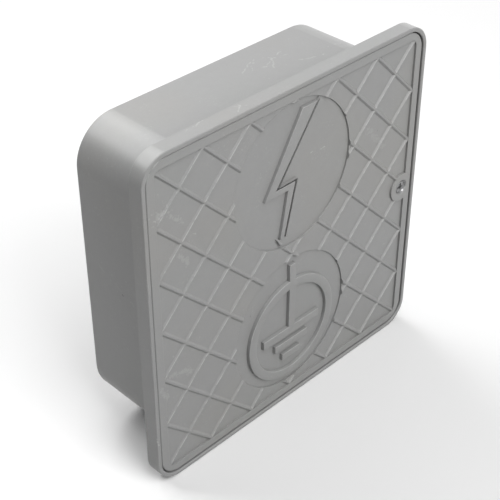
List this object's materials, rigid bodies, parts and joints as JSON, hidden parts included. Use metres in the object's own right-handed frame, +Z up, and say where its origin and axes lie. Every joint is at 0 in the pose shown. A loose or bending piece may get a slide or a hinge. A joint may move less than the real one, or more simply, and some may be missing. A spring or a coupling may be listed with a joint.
{
  "type": "plastic junction box",
  "caption": "Square flush-mounting plastic junction box with a wide flange and a ribbed lid that tips out on tongues once its screw is undone.",
  "frame": {"origin": "middle of the flat back face of the box", "axes": "+X to the right along the lid, +Y out of the back face into the wall, +Z up; the lid faces -Y"},
  "size_m": [0.23, 0.075, 0.23],
  "materials": {
    "box_plastic": "moulded grey, satin, lightly scuffed",
    "lid_plastic": "moulded grey, satin, lightly scuffed",
    "seal_rubber": "soft matt",
    "screw_steel": "zinc plated, dulled",
    "washer_plastic": "natural nylon",
    "insert_brass": "turned"
  },
  "bodies": {
    "box": {"box_shell": "box_plastic", "threaded_insert": "insert_brass", "lid_gasket": "seal_rubber"},
    "cover": {"lid": "lid_plastic"},
    "screw": {"lid_screw": "screw_steel", "screw_retainer": "washer_plastic"}
  },
  "joints": [
    {"name": "lid_hinge", "type": "hinge", "parent": "box", "child": "cover", "pos_m": [-0.11225, -0.0729, 0], "axis": [0, 0, -1], "range_deg": [0, 30]},
    {"name": "screw_turn", "type": "hinge", "parent": "cover", "child": "screw", "pos_m": [0.1025, -0.074, 0], "axis": [0, -1, 0], "continuous": true}
  ]
}
